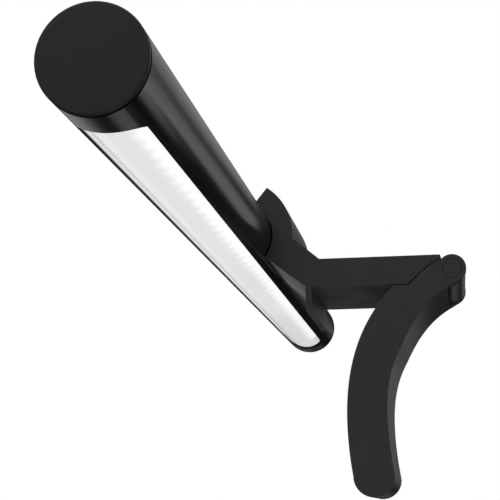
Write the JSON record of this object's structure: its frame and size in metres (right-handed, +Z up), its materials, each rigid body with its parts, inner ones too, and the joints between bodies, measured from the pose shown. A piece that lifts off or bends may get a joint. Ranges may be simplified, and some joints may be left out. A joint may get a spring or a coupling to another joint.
{
  "type": "monitor light bar",
  "caption": "Round black lamp bar with a milky curved diffuser, held by magnets in the cradle of a bracket that hooks on a screen's top edge with a sprung curved counterweight.",
  "frame": {"origin": "middle of the bracket arm's underside, where the bracket rests on the screen's top edge", "axes": "+X along the lamp bar, +Y towards the back of the screen, +Z up"},
  "size_m": [0.448, 0.0902, 0.1052],
  "materials": {
    "black_anodised_tube": "satin black anodised",
    "end_cap_plastic": "matte moulded",
    "bracket_plastic": "fine matte texture",
    "milky_diffuser": "frosted translucent",
    "white_reflector": "smooth white",
    "bush_plastic": "smooth",
    "bare_aluminium": "mill finish",
    "bright_steel": "plated",
    "ballast_iron": "machined and oiled",
    "black_silicone": "soft matte",
    "led_board_white": "white solder mask",
    "circuit_board": "green solder mask"
  },
  "bodies": {
    "bracket_body": {"bracket": "bracket_plastic", "seat_liner": "black_silicone", "torsion_spring": "bright_steel", "hinge_bush_left": "bush_plastic", "hinge_bush_right": "bush_plastic", "cradle_magnet_1": "bright_steel", "cradle_magnet_2": "bright_steel", "cradle_magnet_3": "bright_steel", "cradle_magnet_4": "bright_steel"},
    "lamp": {"bar_tube": "black_anodised_tube", "diffuser": "milky_diffuser", "reflector": "white_reflector", "led_board": "led_board_white", "chassis": "bare_aluminium", "driver_board": "circuit_board", "radio_module": "circuit_board", "usb_c_port": "bright_steel", "keeper_plate": "bright_steel", "power_lead": "black_silicone", "end_plug_left": "end_cap_plastic", "cap_gasket_left": "black_silicone", "end_cap_left": "end_cap_plastic", "end_plug_right": "end_cap_plastic", "cap_gasket_right": "black_silicone", "end_cap_right": "end_cap_plastic", "end_plug_screw_left_1": "bright_steel", "end_plug_screw_left_2": "bright_steel", "end_plug_screw_right_1": "bright_steel", "end_plug_screw_right_2": "bright_steel"},
    "counterweight": {"counterweight_shell": "bracket_plastic", "ballast": "ballast_iron", "counterweight_cover": "bracket_plastic", "grip_pad": "black_silicone", "hinge_pin": "bright_steel", "pin_cap_left": "bracket_plastic", "pin_cap_right": "bracket_plastic", "cover_screw_1": "bright_steel", "cover_screw_2": "bright_steel", "cover_screw_3": "bright_steel", "cover_screw_4": "bright_steel"}
  },
  "joints": [
    {"name": "bar_tilt", "type": "hinge", "parent": "bracket_body", "child": "lamp", "pos_m": [0, -0.0386, 0.01889], "axis": [1, 0, 0], "range_deg": [-12.5, 12.5]},
    {"name": "counterweight_swing", "type": "hinge", "parent": "bracket_body", "child": "counterweight", "pos_m": [0, 0.0344, 0.00498], "axis": [1, 0, 0], "range_deg": [0, 70], "stiffness_Nm_per_rad": 0.12, "springref_deg": -51.57}
  ]
}
